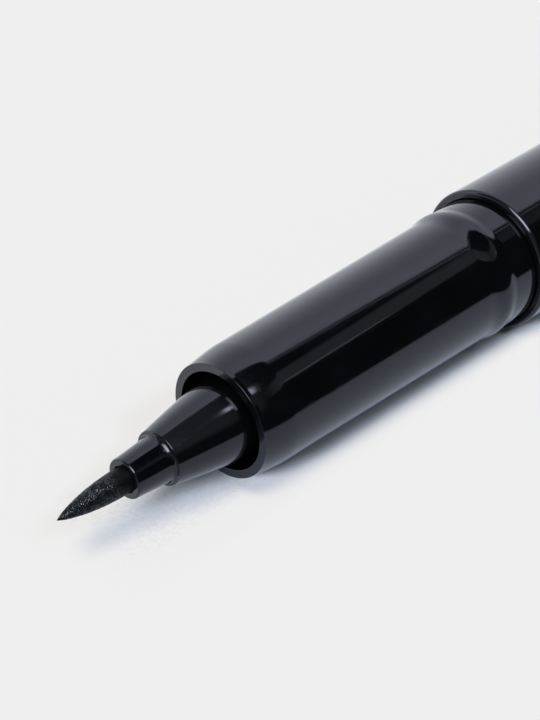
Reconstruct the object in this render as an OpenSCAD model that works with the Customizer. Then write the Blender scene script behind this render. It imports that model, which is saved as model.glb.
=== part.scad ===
// Liquid eyeliner pen, lying on its side with the cap pulled off straight ahead of the nib.
// The axis runs along X, nib towards -X and tail towards +X. Z = 0 is the surface it lies on,
// and the origin is the middle of the footprint. Stations along the axis count from the rim
// plane of the neck sleeve: the nose is at negative stations and the barrel at positive ones.

/* [Barrel] */
// Outer diameter of the barrel, and of the cap that closes flush with it
barrel_d = 11; // [10.4:0.1:12.5]
// Length of the barrel tube, from its front face to the tail plug
barrel_len = 91.7; // [88:0.1:110]
// Wall of the barrel round the socket that takes the neck sleeve
socket_wall = 0.67; // [0.6:0.01:0.8]
// Step in the bore behind the socket, which stops the neck sleeve
socket_step = 0.23; // [0.15:0.01:0.4]
// Radius of the barrel's front edge
barrel_edge = 0.35; // [0.1:0.05:0.5]

/* [Tail plug] */
// Thickness of the tail plug's visible end
tail_t = 1.5; // [1:0.1:3]
// Radius of the tail plug's outer edge
tail_edge = 0.6; // [0.2:0.1:0.9]
// Wall of the tail plug's skirt
tail_wall = 0.9; // [0.6:0.1:1.4]
// Length of the tail plug's skirt, which holds the tank forward
tail_skirt = 6.2; // [4:0.1:12]

/* [Neck sleeve] */
// Length of the neck sleeve in front of the barrel
neck_len = 27.52; // [24:0.01:32]
// Length of the sleeve's spigot inside the barrel
spigot_len = 12; // [9:0.5:16]
// Gain in radius from the front of the straight body to its rear
neck_draft = 0.355; // [0.2:0.005:0.5]
// Length of the tapered lead-in behind the rim
lead_len = 2.6; // [1.5:0.1:3.5]
// Depth of the lead-in, from the body's front radius down to the rim
lead_depth = 0.33; // [0.2:0.01:0.4]
// Wall of the sleeve at the rim
rim_wall = 0.575; // [0.45:0.005:0.7]
// Depth of the open mouth round the nose cone
mouth_depth = 5; // [4:0.1:7]
// Wall of the sleeve round the collector
chamber_wall = 0.865; // [0.8:0.005:0.95]
// Height of the bead that the cap closes over
bead_h = 0.19; // [0.1:0.005:0.3]
// Distance from the barrel's face to the crest of the bead
bead_back = 2.22; // [1.6:0.01:3.5]
// Length of the bead's gentle front slope
bead_rise = 1.1; // [0.6:0.1:3]
// Length of the bead's steeper rear slope
bead_fall = 0.8; // [0.4:0.05:1.2]

/* [Nose cone] */
// Length of the slim front segment
front_len = 2.95; // [2:0.05:4]
// Length of the conical segment
cone_len = 5.27; // [4:0.01:7]
// How far the cone's base edge stands ahead of the sleeve's rim
base_out = 0.2; // [0:0.05:0.6]
// Air passage between the nib and the front bore
air_gap = 0.17; // [0.1:0.01:0.25]
// Wall of the front lip
lip_wall = 0.33; // [0.27:0.01:0.45]
// Gain in radius along the front segment
front_flare = 0.31; // [0.15:0.01:0.4]
// Height of the step between the two segments
step_h = 0.23; // [0.12:0.01:0.35]
// Height of the swell in the middle of the cone's side
cone_swell = 0.045; // [0:0.005:0.15]
// Gap between the cone's base and the sleeve, where the inner cap's skirt goes in
moat_gap = 0.7; // [0.6:0.01:0.9]
// Thickness of the flange that stops against the sleeve's shoulder
cone_flange_t = 1.2; // [0.8:0.1:2]

/* [Nib] */
// Diameter of the felt nib
nib_d = 1.8; // [1.5:0.05:2]
// Length of the nib in front of the nose cone
nib_out = 5.38; // [4:0.02:7]
// Wall of the collar that centres the nib
collar_wall = 0.4; // [0.3:0.05:0.5]
// Length of the collar
collar_len = 3.4; // [2:0.1:3.6]

/* [Collector] */
// Diameter of the fibre core that feeds the nib
relay_d = 1.5; // [1:0.05:1.8]
// Diameter of the collector's body inside the fins
core_d = 3.8; // [3:0.1:4.6]
// Thickness of a fin
fin_t = 0.35; // [0.25:0.01:0.5]
// Gap between the fins at the nose end, where the liquid is held most firmly
fin_gap_front = 0.3; // [0.2:0.01:0.5]
// Gap between the fins at the tank end
fin_gap_rear = 0.5; // [0.3:0.01:0.8]
// Width of the slit that leads the liquid from the core to the gaps
ink_slit = 0.2; // [0.15:0.01:0.4]
// Width of the air channel on the opposite side of the fins
air_channel = 0.9; // [0.5:0.05:1.4]
// Length of the plug at the collector's tank end
plug_len = 5; // [4:0.1:6.5]
// Diameter of the section of the collector's seal ring
seal_d = 0.72; // [0.6:0.02:0.9]

/* [Ink tank] */
// Wall of the tank
tank_wall = 0.6; // [0.5:0.05:0.9]
// Clearance between the tank and the barrel
tank_gap = 0.1; // [0.05:0.01:0.2]
// Length of the tank's spigot inside the neck sleeve
tank_spigot = 4; // [3:0.1:5]
// Length of the tank plug inside the tank
stopper_len = 4; // [3:0.1:6]
// Thickness of the tank plug's flange
stopper_flange_t = 1; // [0.6:0.1:1.5]
// Diameter of the ball that stirs the liquid
ball_d = 3; // [2:0.1:3.2]

/* [Cap] */
// Distance from the nib's tip to the mouth of the cap, pulled off
cap_away = 20; // [11:0.5:30]
// Thickness of the cap's closed end
crown_t = 1.5; // [1:0.05:2.5]
// Radius of the edge round the cap's closed end
crown_edge = 0.8; // [0.2:0.05:0.9]
// Clearance between the cap's bore and the body of the neck sleeve
guide_gap = 0.1; // [0.05:0.01:0.15]
// Wall of the liner that holds the inner cap
liner_wall = 0.45; // [0.35:0.01:0.5]
// Wall of the inner cap's skirt
skirt_wall = 0.5; // [0.35:0.01:0.55]
// Depth of the skirt in the sleeve's mouth when the cap is closed
skirt_in = 4; // [2:0.1:4.5]
// Free space ahead of the nib's tip inside the closed inner cap
nib_room = 1.2; // [0.6:0.1:3]
// Free space behind the inner cap, where the spring lets it give way
spring_room = 1.83; // [1.2:0.01:3]
// Diameter of the spring wire
wire_d = 0.45; // [0.3:0.01:0.5]
// Turns of the spring
spring_turns = 9; // [5:1:12]

/* [Hidden] */
$fn = 96;

// Clearances shared by all the pieces
push_gap = 0.015;
run_gap = 0.035;
seal_run = 0.08;
close_gap = 0.05;
overrun = 1;

// Small edges and walls that have no size of their own in the sections above
fine_edge = 0.1;
lip_edge = 0.15;
edge_steps = 6;
curve_steps = 12;

// Radii, from the barrel inwards
barrel_r = barrel_d / 2;
socket_r = barrel_r - socket_wall;
bore_r = socket_r - socket_step;
neck_r = socket_r - push_gap;
body_front_r = neck_r - neck_draft;
rim_r = body_front_r - lead_depth;
mouth_r = rim_r - rim_wall;
chamber_r = neck_r - chamber_wall;
bead_r = neck_r + bead_h;
base_r = mouth_r - moat_gap;
nib_r = nib_d / 2;
relay_r = relay_d / 2;
tank_r = bore_r - tank_gap;
tank_bore_r = tank_r - tank_wall;
ball_r = ball_d / 2;

// Stations along the axis
nose_x = -base_out - cone_len - front_len;
tip_x = nose_x - nib_out;
step_x = -base_out - cone_len;
face_x = neck_len;
sleeve_end_x = neck_len + spigot_len;
tank_front_x = sleeve_end_x - tank_spigot;
barrel_end_x = face_x + barrel_len;
tank_end_x = barrel_end_x - tail_skirt - stopper_flange_t;
tail_x = barrel_end_x + tail_t;

// The snap ring that keeps the sleeve's spigot in the barrel
snap_h = 0.1;
snap_len = 0.8;
snap_room = 0.1;
snap_x = face_x + spigot_len * 2 / 3;

// The nose cone's bores: collar seat, then the socket of the collector's nose
seat_web = 0.57;
seat_x = step_x + seat_web;
seat_r = nib_r + collar_wall + push_gap + push_gap;
cone_socket_web = 0.3;
cone_socket_x = seat_x + collar_len + cone_socket_web;
cone_socket_wall = 0.8;
cone_socket_r = base_r - cone_socket_wall;
flange_end_x = mouth_depth + cone_flange_t;

// The collector's nose stops short of the cone's socket, and the nib's shank ends just before it
nose_stop = 0.3;
nose_tip_x = cone_socket_x + nose_stop;
nib_stop_gap = 0.12;
nib_end_x = nose_tip_x - nib_stop_gap;

// The collector's fins and plug
fin_run = 0.08;
fin_r = chamber_r - fin_run;
core_r = core_d / 2;
disc_t = 0.8;
fins_x = flange_end_x + disc_t;
plug_x = tank_front_x - plug_len;
fins_room = plug_x - fins_x;
fin_mean_pitch = fin_t + (fin_gap_front + fin_gap_rear) / 2;
fin_count = floor((fins_room - fin_gap_rear) / fin_mean_pitch);
groove_clear = 0.06;
groove_floor_r = chamber_r - groove_clear - seal_d;
groove_w = seal_d + groove_clear + groove_clear;
relay_reach = 5.5;

// The cap, in distances from its mouth
cap_travel = face_x - close_gap - tip_x + cap_away;
cap_bore_r = neck_r + guide_gap;
cap_mouth_r = bead_r + run_gap;
bead_room = 0.8;
cap_mouth_len = bead_back + bead_rise + bead_room;
cap_mouth_chamfer = 0.3;
liner_clear = 0.6;
liner_front = neck_len - close_gap + liner_clear;
liner_lip_t = 0.8;
liner_r = cap_bore_r - push_gap;
liner_bore_r = liner_r - liner_wall;
skirt_bore_r = base_r + seal_run;
skirt_r = skirt_bore_r + skirt_wall;
lip_run = 0.08;
inner_flange_r = liner_bore_r - seal_run;
inner_flange_t = 0.8;
inner_flange_u = liner_front + liner_lip_t;
skirt_u = neck_len - close_gap - skirt_in;
inner_floor_u = neck_len - close_gap - tip_x + nib_room;
inner_end_t = 0.7;
cap_floor = inner_floor_u + inner_end_t + spring_room;
cap_len = cap_floor + crown_t;

// The spring, between the inner cap's flange and the cap's closed end
spring_seat_gap = 0.05;
spring_u0 = inner_flange_u + inner_flange_t + spring_seat_gap + wire_d / 2;
spring_u1 = cap_floor - spring_seat_gap - wire_d / 2;
spring_r = (skirt_r + liner_bore_r) / 2;
spring_rings = 12;
spring_sides = 6;
closed_turns = 1;

// Middle of the whole footprint, from the cap's closed end to the tail
cap_end_x = tip_x - cap_away - cap_len;
middle_x = (cap_end_x + tail_x) / 2;

// A point list along an arc, from angle a0 to a1 about [r, x]
function arc(r, x, size, a0, a1, steps) =
    [for (i = [0 : steps]) [r + size * cos(a0 + (a1 - a0) * i / steps),
                            x + size * sin(a0 + (a1 - a0) * i / steps)]];

// Smooth step from 0 to 1, level at both ends
function ease(t) = (1 - cos(180 * t)) / 2;

// Turns an outline of [radius, station] points about the pen's axis
module turned(outline) {
    rotate([0, 90, 0])
        rotate_extrude()
            polygon(outline);
}

// Puts a piece drawn at its stations in its place on the surface
module on_axis() {
    translate([-middle_x, 0, barrel_r])
        children();
}

// The same for the cap's pieces, drawn at distances from the cap's mouth
module on_cap() {
    translate([tip_x - cap_away - middle_x, 0, barrel_r])
        mirror([1, 0, 0])
            children();
}

// Felt nib: its radius falls as (1 - t ^ power) ^ bluntness, from full at the cone to the pointed tip
nib_power_share = 2.1;
nib_blunt_share = 0.85;
function nib_radius(t) = nib_r * pow(1 - pow(t, nib_power_share), nib_blunt_share);

module nib() {
    taper = [for (i = [0 : curve_steps]) let (t = i / curve_steps)
        [nib_radius(t), nose_x - nib_out * t]];
    color("#15151a")
        on_axis()
            turned(concat([[0, nib_end_x], [nib_r, nib_end_x]], taper));
}

// Split collar that centres the nib's shank in the nose cone, with grooves that let air pass
module nib_collar() {
    grooves = 4;
    groove_d = collar_wall;
    r0 = nib_r + push_gap;
    r1 = seat_r - push_gap;
    color("#d9d9d2")
        on_axis()
            difference() {
                turned([[r0, seat_x], [r1, seat_x], [r1, seat_x + collar_len], [r0, seat_x + collar_len]]);
                for (i = [0 : grooves - 1])
                    rotate([360 * i / grooves, 0, 0])
                        translate([seat_x - overrun, 0, r1])
                            rotate([0, 90, 0])
                                cylinder(h = collar_len + 2 * overrun, d = groove_d);
            }
}

// Two-stage nose: slim front segment with a round lip, a step, then the swelling cone and its flange
module nose_cone() {
    front_bore_r = nib_r + air_gap;
    lip_r = front_bore_r + lip_wall;
    step_r = lip_r + front_flare;
    cone_r = step_r + step_h;
    flange_r = chamber_r - push_gap;
    side = [for (i = [1 : curve_steps]) let (t = i / curve_steps)
        [cone_r + (base_r - cone_r) * t + cone_swell * 4 * t * (1 - t), step_x + cone_len * t]];
    color("#1b1c20")
        on_axis()
            turned(concat(
                [[front_bore_r + fine_edge, nose_x]],
                arc(lip_r - lip_edge, nose_x + lip_edge, lip_edge, 270, 360, edge_steps),
                [[step_r, step_x]],
                arc(cone_r - fine_edge, step_x + fine_edge, fine_edge, 270, 360, edge_steps),
                side,
                [[base_r, mouth_depth], [flange_r, mouth_depth], [flange_r, flange_end_x],
                 [cone_socket_r, flange_end_x], [cone_socket_r, cone_socket_x],
                 [seat_r, cone_socket_x], [seat_r, seat_x],
                 [front_bore_r, seat_x], [front_bore_r, nose_x + fine_edge]]
            ));
}

// Open-mouthed sleeve between the nose and the barrel, with the bead and the spigot behind it.
// The lead-in rises as 1 - (1 - t) ^ power, steepest at the rim.
lead_power_share = 1.2;
module neck_sleeve() {
    crest_x = face_x - bead_back;
    foot_x = crest_x - bead_rise;
    lead = [for (i = [0 : curve_steps]) let (t = i / curve_steps)
        [rim_r + lead_depth * (1 - pow(1 - t, lead_power_share)), fine_edge + (lead_len - fine_edge) * t]];
    rise = [for (i = [0 : curve_steps]) let (t = i / curve_steps)
        [neck_r + bead_h * ease(t), foot_x + bead_rise * t]];
    fall = [for (i = [1 : curve_steps]) let (t = i / curve_steps)
        [neck_r + bead_h * ease(1 - t), crest_x + bead_fall * t]];
    color("#1b1c20")
        on_axis()
            turned(concat(
                [[mouth_r + fine_edge, 0], [rim_r - fine_edge, 0]],
                lead, rise, fall,
                [[neck_r, snap_x],
                 [neck_r + snap_h, snap_x + snap_h], [neck_r + snap_h, snap_x + snap_len - snap_h],
                 [neck_r, snap_x + snap_len], [neck_r, sleeve_end_x - fine_edge],
                 [neck_r - fine_edge, sleeve_end_x], [chamber_r, sleeve_end_x],
                 [chamber_r, mouth_depth], [mouth_r, mouth_depth], [mouth_r, fine_edge]]
            ));
}

// Fibre rod that carries the liquid from the tank to the back of the nib
module relay_core() {
    end_x = sleeve_end_x + relay_reach;
    point_len = relay_r;
    color("#e4dccb")
        on_axis()
            turned([[0, nib_end_x], [relay_r, nib_end_x], [relay_r, end_x - point_len],
                    [relay_r / 2, end_x], [0, end_x]]);
}

// Station of a fin's front face: the gaps widen evenly from the nose end to the tank end
function fin_x(i) = fins_x + i * fin_t + (i + 1) * fin_gap_front
    + (fin_gap_rear - fin_gap_front) * i * (i + 1) / (2 * (fin_count - 1));

// Comb-like collector: fins on a hollow core, a plug behind, a feed slit along the underside,
// and an air channel along the top that runs on over the nose
module collector() {
    bore_run_r = relay_r + push_gap;
    nose_r = cone_socket_r - push_gap;
    groove_x = plug_x + (plug_len - groove_w) / 2;
    comb = [for (i = [0 : fin_count - 1]) each
        [[core_r, fin_x(i)], [fin_r, fin_x(i)], [fin_r, fin_x(i) + fin_t], [core_r, fin_x(i) + fin_t]]];
    color("#e9e7e0")
        on_axis()
            difference() {
                turned(concat(
                    [[bore_run_r, nose_tip_x], [nose_r - fine_edge, nose_tip_x],
                     [nose_r, nose_tip_x + fine_edge], [nose_r, flange_end_x],
                     [fin_r, flange_end_x], [fin_r, fins_x], [core_r, fins_x]],
                    comb,
                    [[core_r, plug_x], [fin_r, plug_x], [fin_r, groove_x],
                     [groove_floor_r, groove_x], [groove_floor_r, groove_x + groove_w],
                     [fin_r, groove_x + groove_w], [fin_r, tank_front_x],
                     [bore_run_r, tank_front_x]]
                ));
                translate([fins_x, -ink_slit / 2, -fin_r - overrun])
                    cube([plug_x - fins_x, ink_slit, fin_r + overrun]);
                translate([nose_tip_x - overrun, -air_channel / 2, core_r])
                    cube([plug_x - nose_tip_x + overrun, air_channel, fin_r]);
            }
}

// Rubber ring in the groove of the collector's plug
module collector_seal() {
    ring_r = groove_floor_r + groove_clear / 2 + seal_d / 2;
    color("#3a3a3c")
        on_axis()
            translate([plug_x + plug_len / 2, 0, 0])
                rotate([0, 90, 0])
                    rotate_extrude()
                        translate([ring_r, 0])
                            circle(d = seal_d);
}

// Outer tube: round front edge, socket for the sleeve's spigot, bore for the tank
module barrel() {
    groove_r = socket_r + snap_h;
    color("#1b1c20")
        on_axis()
            turned(concat(
                [[socket_r + fine_edge, face_x]],
                arc(barrel_r - barrel_edge, face_x + barrel_edge, barrel_edge, 270, 360, edge_steps),
                [[barrel_r, barrel_end_x], [bore_r, barrel_end_x], [bore_r, sleeve_end_x],
                 [socket_r, sleeve_end_x], [socket_r, snap_x + snap_len + snap_room],
                 [groove_r, snap_x + snap_len], [groove_r, snap_x],
                 [socket_r, snap_x - snap_room], [socket_r, face_x + fine_edge]]
            ));
}

// Tank with a spigot that plugs into the neck sleeve and clamps the collector
module ink_tank() {
    spigot_r = chamber_r - push_gap;
    spigot_bore_r = spigot_r - tank_wall;
    color("#f0efe9")
        on_axis()
            turned([[spigot_bore_r, tank_front_x], [spigot_r - fine_edge, tank_front_x],
                    [spigot_r, tank_front_x + fine_edge], [spigot_r, sleeve_end_x],
                    [tank_r, sleeve_end_x], [tank_r, tank_end_x], [tank_bore_r, tank_end_x],
                    [tank_bore_r, sleeve_end_x + tank_wall], [spigot_bore_r, sleeve_end_x + tank_wall]]);
}

// Ribbed stopper that closes the tank's rear end
module tank_plug() {
    rib_h = 0.12;
    rib_w = 0.5;
    cup_wall = 0.8;
    rib_r = tank_bore_r - push_gap;
    skirt_outer_r = rib_r - rib_h;
    cup_r = skirt_outer_r - cup_wall;
    front_x = tank_end_x - stopper_len;
    rib_places = [front_x + rib_w, tank_end_x - 3 * rib_w];
    ribs = [for (x = rib_places) each
        [[skirt_outer_r, x], [rib_r, x + rib_h], [rib_r, x + rib_w - rib_h], [skirt_outer_r, x + rib_w]]];
    color("#e9e7e0")
        on_axis()
            turned(concat(
                [[0, front_x], [skirt_outer_r - fine_edge, front_x], [skirt_outer_r, front_x + fine_edge]],
                ribs,
                [[skirt_outer_r, tank_end_x], [tank_r, tank_end_x], [tank_r, tank_end_x + stopper_flange_t],
                 [cup_r, tank_end_x + stopper_flange_t], [cup_r, front_x + cup_wall], [0, front_x + cup_wall]]
            ));
}

// Loose steel ball that stirs the liquid, at the tail end of the tank
module mixing_ball() {
    rest_x = tank_end_x - stopper_len - ball_r - seal_run;
    color("#c9ccd1")
        on_axis()
            translate([rest_x, 0, -(tank_bore_r - ball_r - run_gap)])
                sphere(r = ball_r);
}

// Tail plug: visible end with a round edge, and a skirt that holds the tank forward
module tail_plug() {
    skirt_r = bore_r - push_gap;
    cup_r = skirt_r - tail_wall;
    skirt_x = barrel_end_x - tail_skirt;
    color("#1b1c20")
        on_axis()
            turned(concat(
                [[cup_r, skirt_x], [skirt_r - fine_edge, skirt_x], [skirt_r, skirt_x + fine_edge],
                 [skirt_r, barrel_end_x], [barrel_r, barrel_end_x]],
                arc(barrel_r - tail_edge, tail_x - tail_edge, tail_edge, 0, 90, edge_steps),
                [[0, tail_x], [0, barrel_end_x], [cup_r, barrel_end_x]]
            ));
}

// Outer cap: wide at the mouth to pass the bead, then guided by the sleeve's body
module cap_shell() {
    color("#1b1c20")
        on_cap()
            turned(concat(
                [[cap_mouth_r + fine_edge, 0]],
                arc(barrel_r - lip_edge, lip_edge, lip_edge, 270, 360, edge_steps),
                arc(barrel_r - crown_edge, cap_len - crown_edge, crown_edge, 0, 90, edge_steps),
                [[0, cap_len], [0, cap_floor], [cap_bore_r, cap_floor],
                 [cap_bore_r, cap_mouth_len + cap_mouth_chamfer], [cap_mouth_r, cap_mouth_len],
                 [cap_mouth_r, fine_edge]]
            ));
}

// Liner pressed into the cap: its front lip keeps the inner cap in, its bore guides the flange
module cap_liner() {
    lip_bore_r = skirt_r + lip_run;
    color("#2a2b30")
        on_cap()
            turned([[lip_bore_r, liner_front + fine_edge], [lip_bore_r + fine_edge, liner_front],
                    [liner_r - fine_edge, liner_front], [liner_r, liner_front + fine_edge],
                    [liner_r, cap_floor], [liner_bore_r, cap_floor],
                    [liner_bore_r, inner_flange_u], [lip_bore_r, inner_flange_u]]);
}

// Inner cap: a cup that slides over the cone's land and closes the sleeve's mouth round it
module inner_cap() {
    outer_end = inner_floor_u + inner_end_t;
    color("#dcdcd6")
        on_cap()
            turned([[skirt_bore_r + fine_edge, skirt_u], [skirt_r - fine_edge, skirt_u],
                    [skirt_r, skirt_u + fine_edge], [skirt_r, inner_flange_u + run_gap],
                    [inner_flange_r, inner_flange_u + run_gap],
                    [inner_flange_r, inner_flange_u + inner_flange_t],
                    [skirt_r, inner_flange_u + inner_flange_t], [skirt_r, outer_end - fine_edge],
                    [skirt_r - fine_edge, outer_end], [0, outer_end], [0, inner_floor_u],
                    [skirt_bore_r, inner_floor_u], [skirt_bore_r, skirt_u + fine_edge]]);
}

// Centre line of the spring: closed end turns lie flat, one wire apart, and the rest climb evenly
function spring_u(turn) = let (
        last = spring_turns,
        flat_rise = wire_d + run_gap,
        open_turns = last - 2 * closed_turns,
        open_rise = spring_u1 - spring_u0 - 2 * closed_turns * flat_rise
    )
    turn < closed_turns ? spring_u0 + flat_rise * turn
    : turn > last - closed_turns ? spring_u1 - flat_rise * (last - turn)
    : spring_u0 + closed_turns * flat_rise + open_rise * (turn - closed_turns) / open_turns;

// A ring of points round the wire at one turn angle
function spring_ring(turn) = let (a = 360 * turn)
    [for (k = [0 : spring_sides - 1]) let (b = 360 * k / spring_sides)
        [spring_u(turn) + wire_d / 2 * sin(b),
         (spring_r + wire_d / 2 * cos(b)) * cos(a),
         (spring_r + wire_d / 2 * cos(b)) * sin(a)]];

module cap_spring() {
    last = spring_turns * spring_rings;
    points = [for (i = [0 : last]) each spring_ring(i / spring_rings)];
    sides = [for (i = [0 : last - 1], k = [0 : spring_sides - 1]) let (
            j = (k + 1) % spring_sides,
            a = i * spring_sides,
            b = a + spring_sides
        ) each [[a + k, a + j, b + k], [a + j, b + j, b + k]]];
    fan = [for (k = [1 : spring_sides - 2]) each [
        [0, k + 1, k],
        [last * spring_sides, last * spring_sides + k, last * spring_sides + k + 1]
    ]];
    color("#b9bcc2")
        on_cap()
            polyhedron(points, concat(sides, fan));
}

// Least gap between neighbouring turns of the spring, wire surface to wire surface
spring_least_gap = min([for (i = [0 : (spring_turns - 1) * spring_rings])
    spring_u((i + spring_rings) / spring_rings) - spring_u(i / spring_rings)]) - wire_d;
echo(fin_count = fin_count, cap_travel = cap_travel, spring_least_gap = spring_least_gap);

nib();
nib_collar();
nose_cone();
neck_sleeve();
relay_core();
collector();
collector_seal();
barrel();
ink_tank();
tank_plug();
mixing_ball();
tail_plug();
cap_shell();
cap_liner();
inner_cap();
cap_spring();
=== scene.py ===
"""Liquid eyeliner pen lying uncapped on a pale floor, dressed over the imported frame.

All shapes are worked out in millimetres in the row frame: the axis runs along X at the barrel's
radius above the floor, nib towards -X. Stations of the pen's own pieces count from the neck
sleeve's rim, and those of the cap's pieces from the cap's mouth towards its closed end.
"""

import math

import bpy
import numpy as np
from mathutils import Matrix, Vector


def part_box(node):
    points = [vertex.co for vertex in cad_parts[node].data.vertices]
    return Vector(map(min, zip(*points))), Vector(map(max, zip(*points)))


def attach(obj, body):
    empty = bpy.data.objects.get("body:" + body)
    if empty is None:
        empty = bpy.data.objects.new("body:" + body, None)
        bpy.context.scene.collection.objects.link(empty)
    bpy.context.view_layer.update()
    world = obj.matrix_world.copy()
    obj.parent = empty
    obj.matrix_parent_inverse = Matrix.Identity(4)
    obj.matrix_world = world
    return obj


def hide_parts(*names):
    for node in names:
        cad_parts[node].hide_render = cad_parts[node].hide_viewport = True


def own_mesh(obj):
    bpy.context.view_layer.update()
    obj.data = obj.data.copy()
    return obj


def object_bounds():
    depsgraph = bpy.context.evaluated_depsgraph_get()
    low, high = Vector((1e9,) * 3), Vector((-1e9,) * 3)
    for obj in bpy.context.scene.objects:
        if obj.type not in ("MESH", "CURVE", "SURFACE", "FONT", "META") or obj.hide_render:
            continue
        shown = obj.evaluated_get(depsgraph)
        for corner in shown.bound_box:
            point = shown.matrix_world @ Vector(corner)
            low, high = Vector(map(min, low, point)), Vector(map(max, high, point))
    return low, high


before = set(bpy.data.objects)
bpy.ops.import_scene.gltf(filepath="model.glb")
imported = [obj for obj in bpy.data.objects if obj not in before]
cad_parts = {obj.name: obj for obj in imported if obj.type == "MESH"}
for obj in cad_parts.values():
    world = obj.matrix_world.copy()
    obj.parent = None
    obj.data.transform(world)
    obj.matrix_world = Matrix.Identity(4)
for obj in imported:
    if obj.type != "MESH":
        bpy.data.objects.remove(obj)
cad_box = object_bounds()

MM = 0.001


def span_x(node):
    """Lowest and highest X of a CAD node, in millimetres."""
    low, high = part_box(node)
    return low.x / MM, high.x / MM


# Row X of the sleeve's rim and of the cap's mouth
RIM_X = span_x("neck_sleeve")[0]
MOUTH_X = span_x("cap_shell")[1]


def pen_span(node):
    """Stations where a CAD node of the pen begins and ends."""
    low, high = span_x(node)
    return low - RIM_X, high - RIM_X


def cap_span(node):
    """Stations where a CAD node of the cap begins and ends."""
    low, high = span_x(node)
    return MOUTH_X - high, MOUTH_X - low


# The barrel lies on the floor, so its radius is also the height of the axis
AXIS_Z = BARREL_R = cad_box[1].z / 2 / MM

# Stations of the pen where pieces meet, from the nose to the tail
NOSE_FACE, NOSE_END = pen_span("nose_cone")
SHANK_END, ROD_END = pen_span("relay_core")
MOAT_END = 5.0
BARREL_FRONT, BARREL_END = pen_span("barrel")
TANK_FRONT, TANK_END = pen_span("ink_tank")
SNAP_END = TANK_FRONT + 0.8
SPIGOT_END = pen_span("neck_sleeve")[1]
STOPPER_END = pen_span("tank_plug")[1]

# Stations of the cap where pieces meet: behind the inner cap's flange, and inside the crown
CUP_FLANGE = 29.67
CROWN = cap_span("cap_liner")[1]

# Radii of the nib and the tank, and height of the sleeve's snap ring
NIB_R = 0.9
TANK_R = 4.5
SNAP_H = 0.1

# Roundings of a moulding's inside corners, plain edges and soft edges
CRISP, EDGE, SOFT = 0.03, 0.05, 0.1

# Each lamp's lean, tilt and spread in degrees, and its red, green and blue share of the floor's light
LAMPS = {
    "low_lamp": (-25.5, 57, 10, (0.37, 0.41, 0.49)),
    "near_lamp": (-42, 0, 10, (0.05, 0.06, 0.07)),
    "middle_lamp": (-17, 57, 10, (0.15, 0.145, 0.145)),
    "high_lamp": (-18, 24, 20, (0.35, 0.305, 0.205)),
}

# The fill gives the share that the lamps leave, so that the open floor is lit at a level of 1
FILL = 1 - np.array([share for *_, share in LAMPS.values()]).sum(0)

# Colour of the floor's paper and of the backdrop
PALE = (0.8632, 0.8632, 0.8632, 1)


def rounded(corners, steps=7, guard=0.012, longest=2.0):
    """Profile through corners of (station, radius, corner radius), in millimetres.

    Each corner with a radius becomes an arc that meets both straight runs at a tangent. Beside
    every arc and sharp corner a guard point keeps the shading of the straight run flat, and long
    runs are split evenly. Returns an array of (station, radius) rows, in order.
    """
    pts = [np.array(c[:2], float) for c in corners]
    size = [c[2] if len(c) > 2 else 0.0 for c in corners]
    n = len(pts)
    closed = not (abs(pts[0][1]) < 1e-9 and abs(pts[-1][1]) < 1e-9)
    pieces = []
    for i in range(n):
        p = pts[i]
        if not closed and i in (0, n - 1) or size[i] <= 0:
            pieces.append(p[None, :])
            continue
        a, b = pts[i - 1] - p, pts[(i + 1) % n] - p
        la, lb = np.linalg.norm(a), np.linalg.norm(b)
        a, b = a / la, b / lb
        half = 0.5 * math.acos(max(-1.0, min(1.0, float(a @ b))))
        reach = min(size[i] / math.tan(half), 0.48 * la, 0.48 * lb)
        radius = reach * math.tan(half)
        centre = p + (a + b) / np.linalg.norm(a + b) * radius / math.sin(half)
        start, turn = p + a * reach - centre, math.pi - 2 * half
        way = 1.0 if a[0] * b[1] - a[1] * b[0] < 0 else -1.0
        count = max(2, int(math.ceil(steps * turn / (math.pi / 2))))
        ang = way * turn * np.linspace(0, 1, count + 1)
        c, s = np.cos(ang), np.sin(ang)
        arc = np.stack([start[0] * c - start[1] * s, start[0] * s + start[1] * c], 1)
        pieces.append(centre + arc)
    out = []
    for i, piece in enumerate(pieces):
        out.append(piece)
        if not closed and i == n - 1:
            break
        p, q = piece[-1], pieces[(i + 1) % n][0]
        run = np.linalg.norm(q - p)
        if run < 4 * guard:
            continue
        count = max(1, int(math.ceil((run - 2 * guard) / longest)))
        near, far = guard / run, 1 - guard / run
        t = np.concatenate([[near], np.linspace(near, far, count + 1)[1:]])
        out.append(p + (q - p) * t[:, None])
    return np.concatenate(out)


def ridge(start, end, foot, height, edge=0.0):
    """Corners of a ridge whose flanks slope at 45 degrees from the foot radius up to its height."""
    run = math.copysign(height, end - start)
    top = foot + height
    return [(start, foot, edge), (start + run, top, edge), (end - run, top, edge), (end, foot, edge)]


def add_mesh(name, points, faces):
    """A smooth-shaded mesh object from arrays of points in millimetres and of quads (or triangles
    written as quads whose last two corners are the same)."""
    faces = np.asarray(faces, np.int64)
    three = faces[:, 2] == faces[:, 3]
    counts = np.where(three, 3, 4)
    keep = np.ones(faces.shape, bool)
    keep[three, 3] = False
    loops = faces[keep]
    mesh = bpy.data.meshes.new(name)
    mesh.vertices.add(len(points))
    mesh.vertices.foreach_set("co", (np.asarray(points) * MM).astype(np.float32).ravel())
    mesh.loops.add(len(loops))
    mesh.loops.foreach_set("vertex_index", loops.astype(np.int32))
    mesh.polygons.add(len(faces))
    starts = np.concatenate([[0], np.cumsum(counts)[:-1]])
    mesh.polygons.foreach_set("loop_start", starts.astype(np.int32))
    mesh.polygons.foreach_set("use_smooth", np.ones(len(faces), bool))
    mesh.update(calc_edges=True)
    mesh.validate()
    obj = bpy.data.objects.new(name, mesh)
    bpy.context.scene.collection.objects.link(obj)
    return obj


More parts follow.
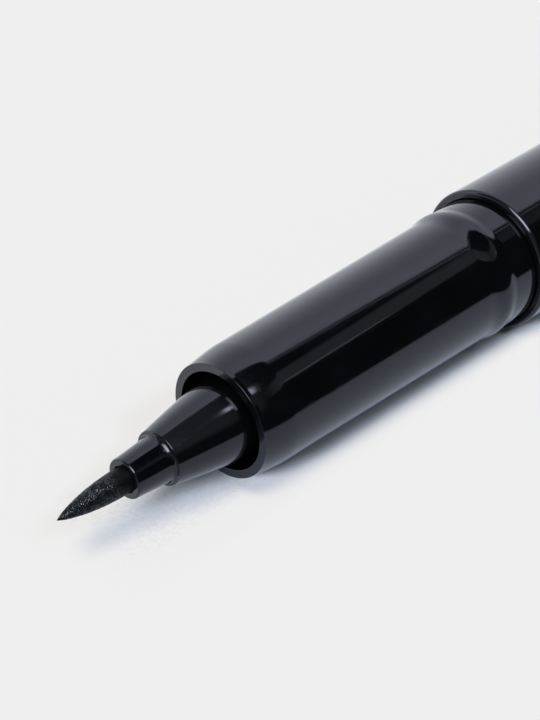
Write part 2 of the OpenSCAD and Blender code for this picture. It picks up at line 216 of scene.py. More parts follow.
def grid_faces(rows, cols, loop):
    """Quads between the neighbouring points of a grid whose columns close on themselves, and whose
    rows do so too if loop is true."""
    i = np.arange(rows if loop else rows - 1)[:, None]
    j = np.arange(cols)[None, :]
    here, there, m = i * cols, (i + 1) % rows * cols, (j + 1) % cols
    return np.stack(np.broadcast_arrays(here + j, here + m, there + m, there + j), 2).reshape(-1, 4)


def fan(centre, start, cols, forward):
    """Triangles from a centre point to the ring of points that begins at a start index."""
    j = start + np.arange(cols)
    m = start + (np.arange(cols) + 1) % cols
    one, two = (j, m) if forward else (m, j)
    return np.stack([np.full(cols, centre), one, two, two], 1)


def turned(name, profile, around=160, height=AXIS_Z, swell=None):
    """Surface of revolution about a line along X at a height.

    The point at profile row i and turn angle a is (station, radius * sin a, height + radius *
    cos a). The profile runs from axis to axis, where its ends close in poles, or round a loop.
    swell, if given, is an array over (row, angle) that is added to the radius.
    """
    prof = np.asarray(profile, float)
    swell = np.zeros((len(prof), 1)) if swell is None else swell
    after = np.roll(prof, -1, 0)
    if np.sum(prof[:, 0] * after[:, 1] - after[:, 0] * prof[:, 1]) < 0:
        prof, swell = prof[::-1], swell[::-1]
    solid = abs(prof[0, 1]) < 1e-9 and abs(prof[-1, 1]) < 1e-9
    kept = slice(1, -1) if solid else slice(None)
    ring = prof[kept]
    rows = len(ring)
    a = np.linspace(0, 2 * math.pi, around, endpoint=False)
    r = np.broadcast_to(ring[:, 1][:, None] + swell[kept], (rows, around))
    x = np.broadcast_to(ring[:, 0][:, None], (rows, around))
    points = np.stack([x, r * np.sin(a), height + r * np.cos(a)], 2).reshape(-1, 3)
    faces = [grid_faces(rows, around, loop=not solid)]
    if solid:
        first = len(points)
        points = np.concatenate([points, [[prof[0, 0], 0, height], [prof[-1, 0], 0, height]]])
        faces += [fan(first, 0, around, False), fan(first + 1, first - around, around, True)]
    return add_mesh(name, points, np.concatenate(faces))


def lattice(rows, cols, cells_r, cells_c, seed):
    """Smooth random field between -1 and 1 over a grid, which closes on itself along its columns:
    random numbers on a coarse lattice, blended with the smoothstep of the place in each cell."""
    rng = np.random.default_rng(seed)
    knots = rng.uniform(-1, 1, (cells_r + 2, cells_c))
    u = np.linspace(0, cells_r, rows)
    v = np.arange(cols) * cells_c / cols
    i, j = np.floor(u).astype(int), np.floor(v).astype(int)
    fu, fv = u - i, v - j
    fu, fv = (fu * fu * (3 - 2 * fu))[:, None], (fv * fv * (3 - 2 * fv))[None, :]
    j2 = (j + 1) % cells_c
    top = knots[i][:, j] * (1 - fv) + knots[i][:, j2] * fv
    low = knots[i + 1][:, j] * (1 - fv) + knots[i + 1][:, j2] * fv
    return top * (1 - fu) + low * fu


def pen(profile):
    """Moves a profile from stations behind the rim to row X."""
    p = np.array(profile, float)
    p[:, 0] += RIM_X
    return p


def cap(profile):
    """Moves a profile from distances inside the cap's mouth to row X."""
    p = np.array(profile, float)
    p[:, 0] = MOUTH_X - p[:, 0]
    return p


class Wire:
    """A shader socket that can stand in a Python expression; each operation adds a Math node."""

    def __init__(self, finish, socket):
        self.finish, self.socket = finish, socket

    def math(self, operation, *terms):
        """Math node on wires or numbers."""
        return self.finish.add("ShaderNodeMath", dict(enumerate(terms)), operation=operation)

    def __add__(self, other):
        return self.math("ADD", self, other)

    __radd__ = __add__

    def __sub__(self, other):
        return self.math("SUBTRACT", self, other)

    def __rsub__(self, other):
        return self.math("SUBTRACT", other, self)

    def __mul__(self, other):
        return self.math("MULTIPLY", self, other)

    __rmul__ = __mul__

    def ramp(self, start, end):
        """Smoothstep from 0 at start to 1 at end, which may be the lower of the two."""
        return self.finish.add(
            "ShaderNodeMapRange",
            {"Value": self, "From Min": start, "From Max": end},
            interpolation_type="SMOOTHSTEP",
        )

    def band(self, start, full, fade, end):
        """Smoothstep up from start to full, and down again from fade to end."""
        return self.ramp(start, full) * self.ramp(end, fade)


class Finish:
    """The node tree of one material or of the world."""

    def __init__(self, owner):
        owner.use_nodes = True
        self.owner, self.tree = owner, owner.node_tree
        self.tree.nodes.clear()

    def add(self, kind, sockets=None, out=0, **settings):
        """One node of a type, with its settings, then the values or links of its sockets."""
        node = self.tree.nodes.new(kind)
        for key, value in settings.items():
            setattr(node, key, value)
        for key, value in (sockets or {}).items():
            if isinstance(value, Wire):
                self.tree.links.new(value.socket, node.inputs[key])
            else:
                node.inputs[key].default_value = value
        return Wire(self, node.outputs[out]) if len(node.outputs) else None

    def outputs(self, kind, places, sockets=None):
        """Wires from several outputs of a node type, each from a node of its own."""
        return [self.add(kind, sockets, out=place) for place in places]

    def place(self, scale=(1, 1, 1)):
        """Object coordinates in millimetres, stretched by a scale along each axis."""
        coords = self.add("ShaderNodeTexCoord", out=3)
        size = tuple(s / MM for s in scale)
        return self.add("ShaderNodeMapping", {"Vector": coords, "Scale": size})

    def noise(self, vector, scale, detail=2.0, rough=0.5):
        """Noise between 0 and 1, its scale in waves to the millimetre."""
        sockets = {"Vector": vector, "Scale": scale, "Detail": detail, "Roughness": rough}
        return self.add("ShaderNodeTexNoise", sockets)

    def blend(self, share, first, second):
        """Colour between two, by a share."""
        return self.add("ShaderNodeMix", {0: share, 6: first, 7: second}, out=2, data_type="RGBA")

    def mix(self, share, first, second):
        """Shader between two, by a share."""
        return self.add("ShaderNodeMixShader", {0: share, 1: first, 2: second})

    def bump(self, height, distance, below=None):
        """Surface relief: height 1 stands proud by a distance in millimetres."""
        sockets = {"Height": height, "Distance": distance * MM}
        if below is not None:
            sockets["Normal"] = below
        return self.add("ShaderNodeBump", sockets)

    def surface(self, **sockets):
        """Closes a material with the main shader, whose sockets are named with underscores."""
        named = {key.replace("_", " "): value for key, value in sockets.items()}
        shader = self.add("ShaderNodeBsdfPrincipled", named)
        self.add("ShaderNodeOutputMaterial", {"Surface": shader})
        return self.owner


def material(name):
    """A new material's node tree."""
    return Finish(bpy.data.materials.new(name))


def glossy_black():
    """Polished black moulding: faint flow waves, a breath of haze and a few hairline scratches."""
    f = material("gloss_black")
    here = f.place()
    haze = f.noise(here, 0.35, 3.0)
    hair = f.noise(f.place((0.05, 1.6, 1.6)), 6.0, 1.0)
    line = (hair - 0.66).ramp(0.0, 0.05)
    waves = f.noise(f.place((0.12, 0.3, 0.3)), 1.0, 1.0)
    grain = f.noise(here, 9.0, 2.0)
    relief = f.bump(waves * 0.75 + grain * 0.012, 0.012)
    deep, worn = (0.0012, 0.0014, 0.0020, 1), (0.0020, 0.0022, 0.0030, 1)
    return f.surface(
        Base_Color=f.blend(haze.ramp(0.35, 0.7), deep, worn),
        Roughness=haze * 0.05 + line * 0.08 + 0.055,
        IOR=1.5,
        Normal=f.bump(line, 0.0004, below=relief),
    )


def satin_black():
    """Black moulding straight from a spark-eroded tool: fine pitted satin."""
    f = material("satin_black")
    here = f.place()
    pits = f.noise(here, 18.0, 3.0, 0.6)
    wide = f.noise(here, 0.9, 2.0)
    return f.surface(
        Base_Color=f.blend(wide, (0.014, 0.014, 0.016, 1), (0.021, 0.021, 0.024, 1)),
        Roughness=wide * 0.14 + pits * 0.12 + 0.3,
        IOR=1.5,
        Normal=f.bump(pits, 0.006),
    )


def wet_felt():
    """Bonded fibre nib soaked in black: smooth and dark near its collar, and further out matted
    fibres with small wet grains that catch the light."""
    f = material("felt")
    here = f.place()
    smooth_end, matted_start = RIM_X - 8.9, RIM_X - 10.0
    fibres = f.noise(f.place((0.3, 1.0, 1.0)), 9.0, 3.0, 0.6)
    along = f.add("ShaderNodeSeparateXYZ", {"Vector": here})
    cells = {"Vector": here, "Scale": 12.0, "Randomness": 1.0}
    grains, each = f.outputs("ShaderNodeTexVoronoi", (0, 1), cells)
    pick = f.add("ShaderNodeSeparateXYZ", {"Vector": each})
    patch = f.noise(here, 2.2, 2.0)
    used = along.ramp(smooth_end, matted_start)
    wet = grains.ramp(0.55, 0.35) * pick.ramp(0.42, 0.47) * patch.ramp(0.36, 0.46) * used
    relief = fibres * 0.25 + (fibres * 0.3 - grains) * used
    dull = f.blend(fibres.ramp(0.3, 0.75), (0.001, 0.001, 0.0015, 1), (0.004, 0.004, 0.005, 1))
    return f.surface(
        Base_Color=f.blend(wet, dull, (0.085, 0.09, 0.092, 1)),
        Metallic=wet,
        Roughness=0.44 - wet * 0.3,
        IOR=1.45,
        Specular_IOR_Level=0.12,
        Normal=f.bump(relief, 0.018),
    )


def pale_fibre():
    """Undyed bonded fibre rod: strands along its length, stained grey where the liquid sits."""
    f = material("fibre")
    strands = f.noise(f.place((0.06, 1.0, 1.0)), 9.0, 3.0, 0.6)
    stain = f.noise(f.place((0.25, 0.5, 0.5)), 1.0, 2.0)
    clean = f.blend(strands, (0.55, 0.51, 0.44, 1), (0.8, 0.77, 0.7, 1))
    return f.surface(
        Base_Color=f.blend(stain.ramp(0.5, 0.8), clean, (0.2, 0.19, 0.18, 1)),
        Roughness=strands * 0.2 + 0.7,
        Normal=f.bump(strands, 0.03),
    )


def natural_plastic():
    """Uncoloured moulding, milky and faintly uneven, with the soft sheen of a polished tool."""
    f = material("natural_plastic")
    here = f.place()
    cloud = f.noise(here, 0.5, 3.0)
    grain = f.noise(here, 12.0, 2.0)
    return f.surface(
        Base_Color=f.blend(cloud, (0.72, 0.71, 0.66, 1), (0.82, 0.81, 0.78, 1)),
        Roughness=cloud * 0.12 + grain * 0.08 + 0.26,
        IOR=1.5,
        Subsurface_Weight=0.25,
        Subsurface_Scale=0.8 * MM,
        Normal=f.bump(grain, 0.0025),
    )


def seal_rubber():
    """Matt black rubber with a fine bloom."""
    f = material("seal_rubber")
    here = f.place()
    bloom = f.noise(here, 2.5, 3.0)
    fine = f.noise(here, 20.0, 2.0)
    return f.surface(
        Base_Color=f.blend(bloom, (0.016, 0.016, 0.017, 1), (0.042, 0.042, 0.044, 1)),
        Roughness=bloom * 0.2 + 0.6,
        Normal=f.bump(fine, 0.006),
    )


def bright_steel():
    """Drawn and polished steel: fine draw lines and a little variation in polish."""
    f = material("steel")
    here = f.place()
    polish = f.noise(here, 1.2, 3.0)
    lines = f.noise(here, 22.0, 2.0)
    return f.surface(
        Base_Color=f.blend(polish, (0.52, 0.53, 0.55, 1), (0.68, 0.69, 0.71, 1)),
        Metallic=1.0,
        Roughness=polish * 0.14 + lines * 0.08 + 0.12,
        Normal=f.bump(lines, 0.0015),
    )


FINISHES = {
    "gloss_black": glossy_black(),
    "satin_black": satin_black(),
    "felt": wet_felt(),
    "fibre": pale_fibre(),
    "natural_plastic": natural_plastic(),
    "seal_rubber": seal_rubber(),
    "steel": bright_steel(),
}


def fit(obj, node, body, slot):
    """Gives a new piece its finish, and puts it on its body in place of a CAD node."""
    obj.data.materials.append(FINISHES[slot])
    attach(obj, body)
    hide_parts(node)
    return obj


def refinish(node, slot):
    """Gives a CAD node that keeps its own mesh the finish of its slot."""
    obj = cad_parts[node]
    obj.data.materials.clear()
    obj.data.materials.append(FINISHES[slot])


def felt_nib():
    """Nib of radius 0.9 * (1 - t ^ 2.1) ^ 0.85 from the nose's face (t = 0) to the tip (t = 1), on a
    straight shank with a small burr round its cut end. The felt's matted grain lifts and sinks the
    side by up to 0.027 mm, and less near the nose and at the very tip."""
    length, burr, around = 5.48, 0.03, 220
    t = 1 - np.linspace(1, 0, 270) ** 1.2
    side = np.stack([NOSE_FACE - length * t, NIB_R * (1 - t**2.1) ** 0.85], 1)
    side[-1, 1] = 0.0
    run = np.linspace(SHANK_END, NOSE_FACE, 26)[:-1] + burr
    shank = np.stack([run, np.full(len(run), NIB_R)], 1)
    prof = np.concatenate([[[SHANK_END, 0.0], [SHANK_END, NIB_R - burr]], shank, side])
    rows = len(prof)
    grain = 0.017 * lattice(rows, around, 84, 50, 7)
    grain += 0.007 * lattice(rows, around, 40, 24, 8)
    grain += 0.003 * lattice(rows, around, 22, 90, 9)

    # The grain grows from its least to full beyond the smooth part, and fades where the tip is slim
    smooth, fade, least, slim = 0.9, 1.8, 0.12, 0.25
    matted = np.clip((NOSE_FACE - smooth - prof[:, 0]) / fade, least, 1)
    near_tip = np.clip(prof[:, 1] / slim, 0, 1)
    grain *= (matted * near_tip)[:, None]
    return fit(turned("felt_nib", pen(prof), around, swell=grain), "nib", "pen", "felt")


def nose():
    """Two-stage nose: lip, front segment, step, swelling cone, land and flange, then the bores from
    behind. The front segment's side is 1.40 + 0.24 t + 0.13 t ^ 32, which flares it into the step,
    and the cone's side is its chord plus 0.045 * 4 t (1 - t)."""
    step, lip_r, draft, flare = -5.47, 1.40, 0.24, 0.13
    step_r, base_r, swell, flange_r = 1.94, 2.87, 0.045, 3.935
    socket, socket_r = -1.2, 2.055
    seat, seat_r = pen_span("nib_collar")[0], 1.33
    bore_r, hole_r, hole_len, taper_len = 1.07, 0.95, 0.32, 0.2
    t = 1 - np.linspace(1, 0, 32)[2:-1] ** 1.6
    front = np.stack([NOSE_FACE + (step - NOSE_FACE) * t, lip_r + draft * t + flare * t**32], 1)
    t = np.linspace(0, 1, 26)[1:-1]
    side = np.stack([step * (1 - t), step_r + (base_r - step_r) * t + 4 * swell * t * (1 - t)], 1)
    corners = [(NOSE_FACE, hole_r, CRISP), (NOSE_FACE, lip_r, 0.13), *front]
    corners += [(step, lip_r + draft + flare, CRISP), (step, step_r, 0.045), *side]
    corners += [(0.0, base_r, 0.015), (MOAT_END, base_r, EDGE), (MOAT_END, flange_r, EDGE)]
    corners += [(NOSE_END, flange_r, SOFT), (NOSE_END, socket_r, SOFT), (socket, socket_r, EDGE)]
    corners += [(socket, seat_r, EDGE), (seat, seat_r, EDGE), (seat, bore_r, CRISP)]
    hole_end = NOSE_FACE + hole_len
    corners += [(hole_end + taper_len, bore_r, CRISP), (hole_end, hole_r, CRISP)]
    prof = pen(rounded(corners, steps=9))
    return fit(turned("nose", prof, 192), "nose_cone", "pen", "gloss_black")


def sleeve():
    """Open-mouthed sleeve: the lead-in rises by 0.31 * (1 - (1 - t) ^ 1.3) behind the rim, the body
    drafts to the bead, which is a long and a short half cosine wave, and the spigot carries the
    snap ring."""
    rim_r, mouth_r, chamber_r = 4.15, 3.555, 3.95
    foot, crest, rear = 22.3, 24.4, 25.35
    foot_r, crest_r, rear_r = 4.784, 4.99, 4.885
    neck_r, spigot_r = 4.88, 4.815
    neck_end, spigot_start = BARREL_FRONT - 0.22, BARREL_FRONT + 0.23
    t = np.linspace(0, 1, 25)
    lead = np.stack([0.1 + 2.5 * t, rim_r + 0.31 * (1 - (1 - t) ** 1.3)], 1)
    wave = (1 - np.cos(np.pi * t**1.5)) / 2
    rise = np.stack([foot + (crest - foot) * t, foot_r + (crest_r - foot_r) * wave], 1)
    wave = (1 + np.cos(np.pi * t)) / 2
    fall = np.stack([crest + (rear - crest) * t, rear_r + (crest_r - rear_r) * wave], 1)
    corners = [(0.0, mouth_r, 0.04), (0.0, rim_r, 0.025), *lead[2:], *rise, *fall[1:]]
    corners += [(neck_end, neck_r, SOFT), (spigot_start, spigot_r, SOFT)]
    corners += ridge(TANK_FRONT, SNAP_END, spigot_r, SNAP_H)
    corners += [(SPIGOT_END, spigot_r, SOFT), (SPIGOT_END, chamber_r, EDGE)]
    corners += [(MOAT_END, chamber_r, EDGE), (MOAT_END, mouth_r, EDGE)]
    prof = pen(rounded(corners, steps=9))
    return fit(turned("sleeve", prof, 224), "neck_sleeve", "pen", "gloss_black")


def barrel_tube():
    """Outer tube with a full round front edge, and inside it the countersunk socket, the snap
    groove and the tank's bore."""
    socket_r, sink_r, sink, bore_r = 4.83, 4.92, 0.46, 4.6
    corners = [(BARREL_FRONT + sink, socket_r, EDGE), (BARREL_FRONT, sink_r, EDGE)]
    corners += [(BARREL_FRONT, BARREL_R, 0.42), (BARREL_END, BARREL_R, 0.06)]
    corners += [(BARREL_END, bore_r, EDGE), (SPIGOT_END, bore_r, CRISP), (SPIGOT_END, socket_r, CRISP)]
    corners += ridge(SNAP_END + SNAP_H, TANK_FRONT - SNAP_H, socket_r, SNAP_H)
    prof = pen(rounded(corners, steps=10))
    return fit(turned("barrel_tube", prof, 224), "barrel", "pen", "gloss_black")


def tail():
    """Tail plug: flat end with a rounded edge, and the hollow skirt inside the barrel."""
    skirt_r, hollow_r = 4.585, 3.685
    end = pen_span("tail_plug")[1]
    corners = [(end, 0.0), (end, BARREL_R, 0.6), (BARREL_END, BARREL_R, 0.06)]
    corners += [(BARREL_END, skirt_r, 0.02), (STOPPER_END, skirt_r, SOFT)]
    corners += [(STOPPER_END, hollow_r, SOFT), (BARREL_END, hollow_r, SOFT), (BARREL_END, 0.0)]
    prof = pen(rounded(corners, steps=10))
    return fit(turned("tail", prof, 224), "tail_plug", "pen", "gloss_black")


def tank():
    """Ink tank: spigot, shoulder and straight wall, open behind for its stopper."""
    spigot_r, wall = 3.935, 0.6
    corners = [(TANK_FRONT, spigot_r - wall, EDGE), (TANK_FRONT, spigot_r, SOFT)]
    corners += [(SPIGOT_END, spigot_r, CRISP), (SPIGOT_END, TANK_R, 0.08)]
    corners += [(TANK_END, TANK_R, EDGE), (TANK_END, TANK_R - wall, SOFT)]
    corners += [(SPIGOT_END + wall, TANK_R - wall, 0.2), (SPIGOT_END + wall, spigot_r - wall, EDGE)]
    prof = pen(rounded(corners, longest=4))
    return fit(turned("tank", prof, 128), "ink_tank", "pen", "natural_plastic")


def stopper():
    """Ribbed stopper: two low ribs round the skirt, and a flange against the tank's end."""
    skirt_r, wall, rib_len, rib_h = 3.765, 0.8, 0.5, 0.12
    front = pen_span("tank_plug")[0]
    corners = [(front, 0.0), (front, skirt_r, SOFT)]
    for rib in (front + rib_len, front + 5 * rib_len):
        corners += ridge(rib, rib + rib_len, skirt_r, rib_h, EDGE)
    corners += [(TANK_END, skirt_r, CRISP), (TANK_END, TANK_R, EDGE), (STOPPER_END, TANK_R, SOFT)]
    corners += [(STOPPER_END, skirt_r - wall, SOFT), (front + wall, skirt_r - wall, 0.15)]
    corners += [(front + wall, 0.0)]
    return fit(turned("stopper", pen(rounded(corners)), 128), "tank_plug", "pen", "natural_plastic")


def ink_rod():
    """Fibre rod with a blunt pointed end in the tank. Its side lies 0.006 mm low, and grain lifts
    and sinks it by up to 0.008 mm."""
    r, low, grain, around = 0.75, 0.006, 0.008, 72
    corners = [(SHANK_END, 0.0), (SHANK_END, r, EDGE), (ROD_END - r, r, 0.3)]
    corners += [(ROD_END, r / 2, 0.15), (ROD_END, 0.0)]
    prof = rounded(corners, longest=0.35)
    fade = np.clip(prof[:, 1] / r, 0, 1)[:, None]
    rub = grain * lattice(len(prof), around, 90, 30, 3) * fade - low
    return fit(turned("ink_rod", pen(prof), around, swell=rub), "relay_core", "pen", "fibre")


def seal_ring():
    """Ring whose section is a circle: station and radius are the cosine and sine of one turn."""
    middle, ring_r, section_r = sum(pen_span("collector_seal")) / 2, 3.56, 0.36
    a = np.linspace(0, 2 * math.pi, 28, endpoint=False)
    prof = np.stack([middle + section_r * np.cos(a), ring_r + section_r * np.sin(a)], 1)
    return fit(turned("seal_ring", pen(prof), 128), "collector_seal", "pen", "seal_rubber")


def steel_ball():
    """Ball: the half circle of its radius, turned about its own centre line."""
    low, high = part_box("mixing_ball")
    middle, r = (low + high) / 2 / MM, (high.x - low.x) / 2 / MM
    a = np.linspace(0, math.pi, 49)
    prof = np.stack([middle.x - r * np.cos(a), r * np.sin(a)], 1)
    prof[[0, -1], 1] = 0.0
    ball = turned("steel_ball", prof, 96, height=middle.z)
    return fit(ball, "mixing_ball", "stirring_ball", "steel")


def cap_tube():
    """Outer cap: round-edged mouth, wide to pass the bead, then the guiding bore and the crown."""
    bore_r, mouth_r, mouth_len, taper = 4.915, 5.04, 4.12, 0.3
    end = cap_span("cap_shell")[1]
    corners = [(CROWN, 0.0), (CROWN, bore_r, SOFT), (mouth_len + taper, bore_r, 0.2)]
    corners += [(mouth_len, mouth_r, 0.2), (0.0, mouth_r, 0.09), (0.0, BARREL_R, 0.15)]
    corners += [(end, BARREL_R, 0.8), (end, 0.0)]
    prof = cap(rounded(corners, steps=10))
    return fit(turned("cap_tube", prof, 224), "cap_shell", "cap", "gloss_black")


def liner():
    """Liner pressed into the cap, with the lip that keeps the inner cap in."""
    lip, lip_r, outer_r, inner_r = 0.8, 3.515, 4.9, 4.45
    front = cap_span("cap_liner")[0]
    corners = [(front, lip_r, 0.08), (front, outer_r, SOFT), (CROWN, outer_r, EDGE)]
    corners += [(CROWN, inner_r, EDGE), (front + lip, inner_r, EDGE), (front + lip, lip_r, EDGE)]
    return fit(turned("liner", cap(rounded(corners)), 160), "cap_liner", "cap", "satin_black")


def sealing_cup():
    """Inner cap: the cup that closes round the nose, with its flange behind the liner's lip."""
    base, wall, cup_r, flange_r, flange_len = 0.7, 0.5, 3.435, 4.37, 0.765
    front, back = cap_span("inner_cap")
    flange_front = CUP_FLANGE - flange_len
    corners = [(back, 0.0), (back, cup_r, 0.15), (CUP_FLANGE, cup_r, EDGE)]
    corners += [(CUP_FLANGE, flange_r, 0.08), (flange_front, flange_r, 0.08)]
    corners += [(flange_front, cup_r, EDGE), (front, cup_r, SOFT), (front, cup_r - wall, SOFT)]
    corners += [(back - base, cup_r - wall, 0.3), (back - base, 0.0)]
    cup = turned("sealing_cup", cap(rounded(corners)), 160)
    return fit(cup, "inner_cap", "seal_cup", "natural_plastic")


def coil():
    """Spring: the wire's circle carried along a helix whose end turns lie closed and whose other
    turns climb evenly. The wire's two ends are cut flat and closed."""
    turns, per, sides = 9, 32, 12
    wire, radius, flat, rest = 0.45, 3.9425, 0.485, 0.275
    start, stop = CUP_FLANGE + rest, CROWN - rest
    turn = np.linspace(0, turns, turns * per + 1)
    climb = (stop - start - 2 * flat) / (turns - 2)
    along = np.where(turn < 1, start + flat * turn, start + flat + climb * (turn - 1))
    along = np.where(turn > turns - 1, stop - flat * (turns - turn), along)
    a, b = 2 * math.pi * turn, np.linspace(0, 2 * math.pi, sides, endpoint=False)
    r = radius + wire / 2 * np.cos(b)[None, :]
    x = MOUTH_X - (along[:, None] + wire / 2 * np.sin(b)[None, :])
    rings = np.stack([x, r * np.cos(a)[:, None], AXIS_Z + r * np.sin(a)[:, None]], 2)
    points = rings.reshape(-1, 3)
    first = len(points)
    points = np.concatenate([points, rings[[0, -1]].mean(1)])
    faces = [grid_faces(len(turn), sides, loop=False)[:, [0, 3, 2, 1]]]
    faces += [fan(first, 0, sides, True), fan(first + 1, first - sides, sides, False)]
    obj = add_mesh("coil", points, np.concatenate(faces))
    fit(obj, "cap_spring", "cap", "steel")
    fixed, free = MOUTH_X - CROWN, MOUTH_X - CUP_FLANGE
    fixed * MM
    1 - 1.0 / (free - fixed)
    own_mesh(obj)
    return obj


def floor():
    """Wide flat floor of pale paper. Round the pen it shows the light and the shadows that fall on
    it, with painted shade in darker mottled patches; further out the camera sees the plain pale
    backdrop. Reflections see a painted copy of the paper, cool in front and lighter behind the pen,
    which ends in a painted dark edge towards the near side of the studio."""
    size = 3000.0
    points = [[-size, -size, 0], [size, -size, 0], [size, size, 0], [-size, size, 0]]
    obj = add_mesh("floor", points, [[0, 1, 2, 3]])
    f = material("floor")
    here = f.place()
    x, y = f.outputs("ShaderNodeSeparateXYZ", (0, 1), {"Vector": here})
    camera_ray, glossy_ray = f.outputs("ShaderNodeLightPath", (0, 3))

    # The camera sees the paper near the pen, with painted shade in darker mottled patches where the
    # pen's
    #     # shadow lies, but not beside the nib, where the cap's shadow would fall into the picture
    shaded = x.band(-32.0, -26.0, 10.0, 30.0) * y.band(-2.4, -0.6, 5.0, 8.0)
    painted_shade_mottle = f.noise(here, 3.2, 3.0, 0.6).ramp(0.32, 0.6)
    paper_and_painted_shade = f.blend(shaded * (1 - painted_shade_mottle), PALE, (0.79, 0.79, 0.80, 1))
    paper = f.add("ShaderNodeBsdfDiffuse", {"Color": paper_and_painted_shade})
    backdrop = f.add("ShaderNodeEmission", {"Color": PALE, "Strength": 1.0})
    beside_nib = x.band(-52.0, -47.0, -33.3, -29.3)
    near = y.band(-5.0, -3.6, 18.0, 30.0) * (1 - beside_nib)
    seen = f.mix(camera_ray * (1 - near), paper, backdrop)

    # What reflections see of the floor: a painted reflection, a copy of the paper coloured lighter
    # behind
    #     # the pen and cool in front, and a painted dark edge further in front
    sheen = f.blend(y.ramp(0.0, 6.0), (0.62, 0.68, 0.81, 1), (1.0, 1.04, 1.12, 1))
    cool = f.add("ShaderNodeBsdfDiffuse", {"Color": sheen})
    dark = f.add("ShaderNodeEmission", {"Color": (0.8, 0.8, 1.0, 1), "Strength": 0.02})
    painted_floor_reflection = f.mix(y.ramp(-30.0, -42.0), cool, dark)
    f.add("ShaderNodeOutputMaterial", {"Surface": f.mix(glossy_ray, seen, painted_floor_reflection)})
    obj.data.materials.append(f.owner)


def studio():
    """World: the pale backdrop to the camera and a faint cool fill to everything else. Reflections
    see a pale wall beyond a slanting edge overhead, with a thin seam before it, the large soft box
    that lights the pen from the front, a dim strip with a line along its lower edge and a small
    bright lamp on the near side, a faint haze towards the nib, and the dark studio between them."""
    world = bpy.data.worlds.new("studio")
    bpy.context.scene.world = world
    f = Finish(world)
    way = f.add("ShaderNodeTexCoord")

    def towards(axis):
        """How far the reflected direction reaches along a unit axis, between -1 and 1."""
        return f.add("ShaderNodeVectorMath", {0: way, 1: axis}, out=1, operation="DOT_PRODUCT")

    front, side, high = [towards(a) for a in ((1.0, 0.0, 0.0), (0.0, -1.0, 0.0), (0.0, 0.0, 1.0))]

    # The wall, whose edge steps back twice towards the tail, and the thin seam along that edge
    over = towards((0.577, 0.729, -0.369))
    over = over - front.ramp(0.45, 0.58) * 0.033 - front.ramp(0.66, 0.74) * 0.06
    wall = over.ramp(-0.014, 0.014) * side.ramp(0.14, 0.07) * (over.ramp(0.4, 0.0) * 0.34 + 0.9)
    wall = wall * (1 - front.ramp(0.64, 0.71) * 0.14)
    seam = over.band(-0.050, -0.042, -0.030, -0.022) * front.band(0.5, 0.58, 0.7, 0.75)

    # The dim strip, and the brighter line along its lower edge
    middle = towards((0.495, -0.441, -0.747))
    strip = middle.band(-0.15, -0.10, 0.085, 0.098) * side.ramp(0.1, 0.3) * front.ramp(0.3, 0.45)
    strip = strip * (1 - front.ramp(0.66, 0.72) * 0.6)
    line = middle.band(0.074, 0.082, 0.090, 0.098) * side.ramp(0.1, 0.3)
    line = line * front.band(0.5, 0.53, 0.615, 0.625)

    # The haze towards the nib, the small lamp, and the soft box, which dims towards its top
    haze = front.ramp(0.35, 0.29) * side.ramp(0.93, 0.80) * (1 - wall)
    across, tall = towards((0.0, 0.866, 0.5)), towards((0.0, 0.707, 0.707))
    spot = front.band(0.299, 0.307, 0.310, 0.318) * across.band(-0.11, 0.0, 0.03, 0.17)
    box = tall.ramp(0.0, 0.12) * side.ramp(-0.02, 0.08) * (1 - tall.ramp(0.3, 0.62) * 0.5)
    box = box * front.band(-0.80, -0.62, 0.03, 0.165)

    unlit = 0.012
    level = wall + seam * 0.62 + strip * 0.27 + line * 1.05 + haze * 0.19 + spot * 11.5 + box * 9.5
    tint = f.blend(high.ramp(0.75, 0.1), (0.90, 0.97, 1.18, 1), (1.26, 1.32, 1.46, 1))
    mirror = f.add("ShaderNodeBackground", {"Color": tint, "Strength": level + unlit})
    fill = f.add("ShaderNodeBackground", {"Color": (*FILL, 1), "Strength": 1.0})
    seen = f.add("ShaderNodeBackground", {"Color": PALE, "Strength": 1.0})
    camera_ray, glossy_ray = f.outputs("ShaderNodeLightPath", (0, 3))
    shader = f.mix(camera_ray, f.mix(glossy_ray, fill, mirror), seen)
    f.add("ShaderNodeOutputWorld", {"Surface": shader})


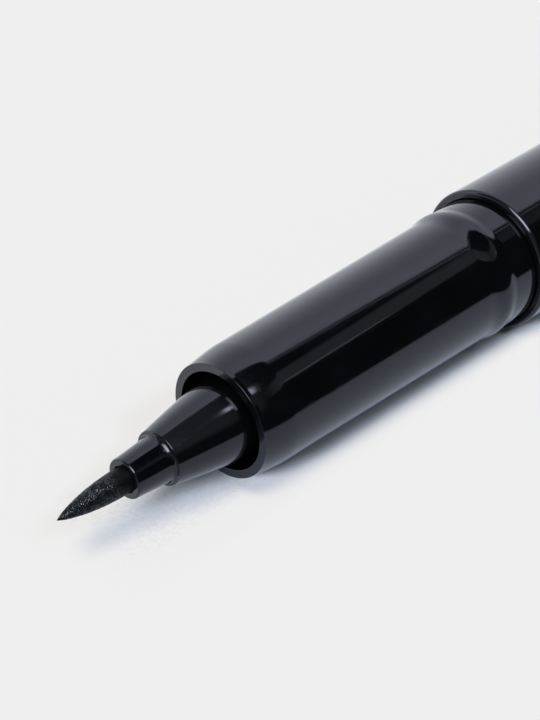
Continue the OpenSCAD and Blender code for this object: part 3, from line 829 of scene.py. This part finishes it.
def lamp(name, lean, tilt, spread, share):
    """Soft distant lamp: lean is its angle from overhead towards the far side and tilt its angle
    towards the nib, spread is how wide it looks, all in degrees, and share is the red, green and
    blue part of the floor's light that it gives. The world holds what reflections see of it."""
    lean, tilt = math.radians(lean), math.radians(tilt)
    beside, above = math.sin(lean) * math.cos(tilt), math.cos(lean) * math.cos(tilt)
    way = Vector((-math.sin(tilt), beside, above))
    data = bpy.data.lights.new(name, "SUN")
    data.energy = math.pi / way.z
    data.angle = math.radians(spread)
    data.color = share
    obj = bpy.data.objects.new(name, data)
    obj.rotation_mode = "QUATERNION"
    obj.rotation_quaternion = way.to_track_quat("Z", "Y")
    obj.visible_glossy = False
    bpy.context.scene.collection.objects.link(obj)


def camera():
    """The photograph's view: 46 degrees round from the side and 35 degrees up, 119 mm from the
    sleeve's rim, which it shows to the left of the picture's middle and below it."""
    azimuth, elevation = math.radians(-46.24), math.radians(34.72)
    beside, above, away = 3.270, 3.982, 118.65
    data = bpy.data.cameras.new("camera")
    data.lens, data.sensor_width = 91.38, 36.0
    data.clip_start, data.clip_end = 0.005, 20.0
    right = Vector((math.cos(azimuth), math.sin(azimuth), 0))
    level = Vector((math.sin(azimuth), -math.cos(azimuth), 0))
    back = level * math.cos(elevation) + Vector((0, 0, math.sin(elevation)))
    up = back.cross(right)
    rim = Vector((RIM_X, 0, AXIS_Z))
    obj = bpy.data.objects.new("camera", data)
    obj.location = (rim + right * beside + up * above + back * away) * MM
    obj.rotation_mode = "QUATERNION"
    obj.rotation_quaternion = (-back).to_track_quat("-Z", "Y")
    bpy.context.scene.collection.objects.link(obj)
    bpy.context.scene.camera = obj


camera()
floor()
studio()
for lamp_name, settings in LAMPS.items():
    lamp(lamp_name, *settings)
bpy.context.scene.view_settings.view_transform = "Standard"

pen_pieces = (felt_nib, nose, sleeve, barrel_tube, tail, tank, stopper, ink_rod, seal_ring, steel_ball)
cap_pieces = (cap_tube, liner, sealing_cup, coil)
for make in pen_pieces + cap_pieces:
    make()
for kept_node in ("nib_collar", "collector"):
    refinish(kept_node, "natural_plastic")
